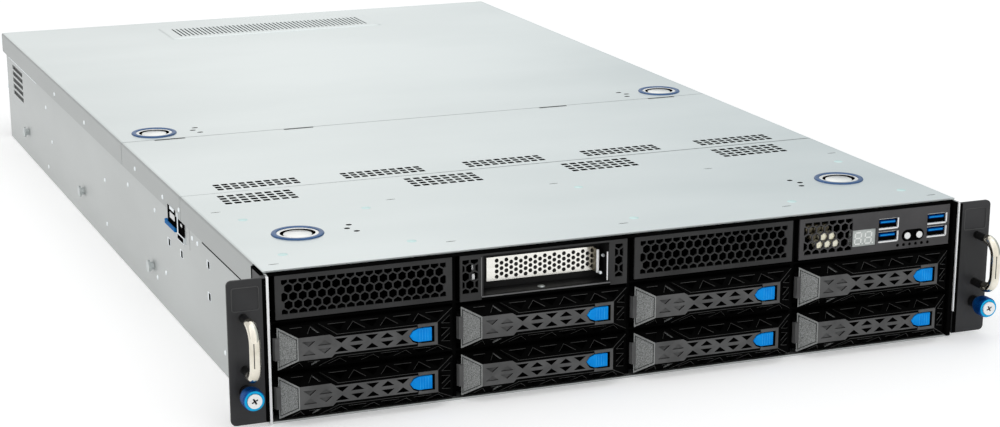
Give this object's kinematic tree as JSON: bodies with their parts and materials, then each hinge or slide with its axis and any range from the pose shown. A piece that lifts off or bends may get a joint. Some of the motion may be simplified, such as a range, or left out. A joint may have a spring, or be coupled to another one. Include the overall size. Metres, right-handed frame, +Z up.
{
  "type": "rack server",
  "caption": "Flat rack-mount server with pale metal lids, honeycomb vent panels, lever-latched front drive trays, rack ears, bow handles and captive thumbscrews.",
  "frame": {"origin": "centre of the case's flat bottom face", "axes": "+X to the right as seen from the front, +Y from the front to the back, +Z up"},
  "size_m": [0.4826, 0.8361, 0.088],
  "materials": {
    "case_metal": "matte zinc-coated sheet",
    "black_metal": "satin black powder coat",
    "ear_metal": "fine-textured dark grey powder coat",
    "handle_chrome": "bright nickel plate",
    "blue_anodised": "blue anodised, knurled",
    "stud_steel": "plain bright steel",
    "bracket_steel": "warm nickel-plated sheet",
    "latch_blue": "satin steel blue",
    "display_grey": "smoked display window",
    "button_grey": "fine matte",
    "tray_plastic": "fine-grained dark moulding",
    "lever_plastic": "grained mid-grey moulding",
    "catch_blue": "bright blue touch-point plastic",
    "board_green": "solder-masked circuit board",
    "fin_metal": "bare extruded fins",
    "fan_black": "moulded black",
    "supply_metal": "plain folded sheet"
  },
  "bodies": {
    "case": {"chassis_base": "case_metal", "cpu_heatsinks": "fin_metal", "drive_backplane": "board_green", "drive_cage": "black_metal", "fan_frames": "fan_black", "io_panel": "black_metal", "left_ear": "ear_metal", "mid_cover": "case_metal", "motherboard": "board_green", "rack_handles": "handle_chrome", "rail_studs": "stud_steel", "right_ear": "ear_metal", "slot_bracket": "bracket_steel", "slot_panel": "black_metal", "status_lights": "display_grey", "usb_ports": "stud_steel", "vent_grilles": "black_metal"},
    "front_lid": {"front_cover": "case_metal", "front_latch_rings": "latch_blue"},
    "rear_lid": {"rear_cover": "case_metal", "rear_latch_rings": "latch_blue"},
    "drive_tray_1": {"drive_tray_1": "tray_plastic"},
    "drive_tray_2": {"drive_tray_2": "tray_plastic"},
    "drive_tray_3": {"drive_tray_3": "tray_plastic"},
    "drive_tray_4": {"drive_tray_4": "tray_plastic"},
    "drive_tray_5": {"drive_tray_5": "tray_plastic"},
    "drive_tray_6": {"drive_tray_6": "tray_plastic"},
    "drive_tray_7": {"drive_tray_7": "tray_plastic"},
    "drive_tray_8": {"drive_tray_8": "tray_plastic"},
    "fan_rotor_1": {"fan_rotor_1": "fan_black"},
    "fan_rotor_2": {"fan_rotor_2": "fan_black"},
    "fan_rotor_3": {"fan_rotor_3": "fan_black"},
    "fan_rotor_4": {"fan_rotor_4": "fan_black"},
    "fan_rotor_5": {"fan_rotor_5": "fan_black"},
    "front_left_latch": {"front_left_latch": "stud_steel"},
    "front_right_latch": {"front_right_latch": "stud_steel"},
    "left_thumbscrew": {"left_thumbscrew": "blue_anodised"},
    "locate_button": {"locate_button": "button_grey"},
    "lower_power_supply": {"lower_power_supply": "supply_metal"},
    "power_button": {"power_button": "button_grey"},
    "rear_left_latch": {"rear_left_latch": "stud_steel"},
    "rear_right_latch": {"rear_right_latch": "stud_steel"},
    "right_thumbscrew": {"right_thumbscrew": "blue_anodised"},
    "tray_latch_1": {"tray_latch_1": "catch_blue"},
    "tray_latch_2": {"tray_latch_2": "catch_blue"},
    "tray_latch_3": {"tray_latch_3": "catch_blue"},
    "tray_latch_4": {"tray_latch_4": "catch_blue"},
    "tray_latch_5": {"tray_latch_5": "catch_blue"},
    "tray_latch_6": {"tray_latch_6": "catch_blue"},
    "tray_latch_7": {"tray_latch_7": "catch_blue"},
    "tray_latch_8": {"tray_latch_8": "catch_blue"},
    "tray_lever_1": {"tray_lever_1": "lever_plastic"},
    "tray_lever_2": {"tray_lever_2": "lever_plastic"},
    "tray_lever_3": {"tray_lever_3": "lever_plastic"},
    "tray_lever_4": {"tray_lever_4": "lever_plastic"},
    "tray_lever_5": {"tray_lever_5": "lever_plastic"},
    "tray_lever_6": {"tray_lever_6": "lever_plastic"},
    "tray_lever_7": {"tray_lever_7": "lever_plastic"},
    "tray_lever_8": {"tray_lever_8": "lever_plastic"},
    "upper_power_supply": {"upper_power_supply": "supply_metal"}
  },
  "joints": [
    {"name": "tray_1_slide", "type": "slide", "parent": "case", "child": "drive_tray_1", "axis": [0, -1, 0], "range_m": [0, 0.15]},
    {"name": "tray_2_slide", "type": "slide", "parent": "case", "child": "drive_tray_2", "axis": [0, -1, 0], "range_m": [0, 0.15]},
    {"name": "tray_3_slide", "type": "slide", "parent": "case", "child": "drive_tray_3", "axis": [0, -1, 0], "range_m": [0, 0.15]},
    {"name": "tray_4_slide", "type": "slide", "parent": "case", "child": "drive_tray_4", "axis": [0, -1, 0], "range_m": [0, 0.15]},
    {"name": "tray_5_slide", "type": "slide", "parent": "case", "child": "drive_tray_5", "axis": [0, -1, 0], "range_m": [0, 0.15]},
    {"name": "tray_6_slide", "type": "slide", "parent": "case", "child": "drive_tray_6", "axis": [0, -1, 0], "range_m": [0, 0.15]},
    {"name": "tray_7_slide", "type": "slide", "parent": "case", "child": "drive_tray_7", "axis": [0, -1, 0], "range_m": [0, 0.15]},
    {"name": "tray_8_slide", "type": "slide", "parent": "case", "child": "drive_tray_8", "axis": [0, -1, 0], "range_m": [0, 0.15]},
    {"name": "lever_1_swing", "type": "hinge", "parent": "drive_tray_1", "child": "tray_lever_1", "pos_m": [-0.2142, -0.394, 0.01485], "axis": [0, 0, -1], "range_deg": [0, 55]},
    {"name": "lever_2_swing", "type": "hinge", "parent": "drive_tray_2", "child": "tray_lever_2", "pos_m": [-0.1062, -0.394, 0.01485], "axis": [0, 0, -1], "range_deg": [0, 55]},
    {"name": "lever_3_swing", "type": "hinge", "parent": "drive_tray_3", "child": "tray_lever_3", "pos_m": [0.0018, -0.394, 0.01485], "axis": [0, 0, -1], "range_deg": [0, 55]},
    {"name": "lever_4_swing", "type": "hinge", "parent": "drive_tray_4", "child": "tray_lever_4", "pos_m": [0.1098, -0.394, 0.01485], "axis": [0, 0, -1], "range_deg": [0, 55]},
    {"name": "lever_5_swing", "type": "hinge", "parent": "drive_tray_5", "child": "tray_lever_5", "pos_m": [-0.2142, -0.394, 0.04315], "axis": [0, 0, -1], "range_deg": [0, 55]},
    {"name": "lever_6_swing", "type": "hinge", "parent": "drive_tray_6", "child": "tray_lever_6", "pos_m": [-0.1062, -0.394, 0.04315], "axis": [0, 0, -1], "range_deg": [0, 55]},
    {"name": "lever_7_swing", "type": "hinge", "parent": "drive_tray_7", "child": "tray_lever_7", "pos_m": [0.0018, -0.394, 0.04315], "axis": [0, 0, -1], "range_deg": [0, 55]},
    {"name": "lever_8_swing", "type": "hinge", "parent": "drive_tray_8", "child": "tray_lever_8", "pos_m": [0.1098, -0.394, 0.04315], "axis": [0, 0, -1], "range_deg": [0, 55]},
    {"name": "front_lid_lift", "type": "slide", "parent": "case", "child": "front_lid", "axis": [0, 0, 1], "range_m": [0, 0.12]},
    {"name": "rear_lid_lift", "type": "slide", "parent": "case", "child": "rear_lid", "axis": [0, 0, 1], "range_m": [0, 0.12]},
    {"name": "lower_supply_slide", "type": "slide", "parent": "case", "child": "lower_power_supply", "axis": [0, 1, 0], "range_m": [0, 0.19]},
    {"name": "upper_supply_slide", "type": "slide", "parent": "case", "child": "upper_power_supply", "axis": [0, 1, 0], "range_m": [0, 0.19]},
    {"name": "rear_left_latch_press", "type": "slide", "parent": "rear_lid", "child": "rear_left_latch", "axis": [0, 0, -1], "range_m": [0, 0.0024], "stiffness_N_per_m": 800},
    {"name": "rear_right_latch_press", "type": "slide", "parent": "rear_lid", "child": "rear_right_latch", "axis": [0, 0, -1], "range_m": [0, 0.0024], "stiffness_N_per_m": 800},
    {"name": "front_left_latch_press", "type": "slide", "parent": "front_lid", "child": "front_left_latch", "axis": [0, 0, -1], "range_m": [0, 0.0024], "stiffness_N_per_m": 800},
    {"name": "front_right_latch_press", "type": "slide", "parent": "front_lid", "child": "front_right_latch", "axis": [0, 0, -1], "range_m": [0, 0.0024], "stiffness_N_per_m": 800},
    {"name": "power_press", "type": "slide", "parent": "case", "child": "power_button", "axis": [0, 1, 0], "range_m": [0, 0.0008], "stiffness_N_per_m": 500},
    {"name": "locate_press", "type": "slide", "parent": "case", "child": "locate_button", "axis": [0, 1, 0], "range_m": [0, 0.0008], "stiffness_N_per_m": 500},
    {"name": "left_screw_turn", "type": "hinge", "parent": "case", "child": "left_thumbscrew", "pos_m": [-0.23255, -0.395, 0.0218], "axis": [0, -1, 0], "continuous": true},
    {"name": "right_screw_turn", "type": "hinge", "parent": "case", "child": "right_thumbscrew", "pos_m": [0.23255, -0.395, 0.0218], "axis": [0, -1, 0], "continuous": true},
    {"name": "catch_1_slide", "type": "slide", "parent": "drive_tray_1", "child": "tray_latch_1", "axis": [1, 0, 0], "range_m": [0, 0.0012], "stiffness_N_per_m": 400},
    {"name": "catch_2_slide", "type": "slide", "parent": "drive_tray_2", "child": "tray_latch_2", "axis": [1, 0, 0], "range_m": [0, 0.0012], "stiffness_N_per_m": 400},
    {"name": "catch_3_slide", "type": "slide", "parent": "drive_tray_3", "child": "tray_latch_3", "axis": [1, 0, 0], "range_m": [0, 0.0012], "stiffness_N_per_m": 400},
    {"name": "catch_4_slide", "type": "slide", "parent": "drive_tray_4", "child": "tray_latch_4", "axis": [1, 0, 0], "range_m": [0, 0.0012], "stiffness_N_per_m": 400},
    {"name": "catch_5_slide", "type": "slide", "parent": "drive_tray_5", "child": "tray_latch_5", "axis": [1, 0, 0], "range_m": [0, 0.0012], "stiffness_N_per_m": 400},
    {"name": "catch_6_slide", "type": "slide", "parent": "drive_tray_6", "child": "tray_latch_6", "axis": [1, 0, 0], "range_m": [0, 0.0012], "stiffness_N_per_m": 400},
    {"name": "catch_7_slide", "type": "slide", "parent": "drive_tray_7", "child": "tray_latch_7", "axis": [1, 0, 0], "range_m": [0, 0.0012], "stiffness_N_per_m": 400},
    {"name": "catch_8_slide", "type": "slide", "parent": "drive_tray_8", "child": "tray_latch_8", "axis": [1, 0, 0], "range_m": [0, 0.0012], "stiffness_N_per_m": 400},
    {"name": "fan_1_spin", "type": "hinge", "parent": "case", "child": "fan_rotor_1", "pos_m": [-0.167, -0.17, 0.0415], "axis": [0, 1, 0], "continuous": true},
    {"name": "fan_2_spin", "type": "hinge", "parent": "case", "child": "fan_rotor_2", "pos_m": [-0.0835, -0.17, 0.0415], "axis": [0, 1, 0], "continuous": true},
    {"name": "fan_3_spin", "type": "hinge", "parent": "case", "child": "fan_rotor_3", "pos_m": [0, -0.17, 0.0415], "axis": [0, 1, 0], "continuous": true},
    {"name": "fan_4_spin", "type": "hinge", "parent": "case", "child": "fan_rotor_4", "pos_m": [0.0835, -0.17, 0.0415], "axis": [0, 1, 0], "continuous": true},
    {"name": "fan_5_spin", "type": "hinge", "parent": "case", "child": "fan_rotor_5", "pos_m": [0.167, -0.17, 0.0415], "axis": [0, 1, 0], "continuous": true}
  ]
}
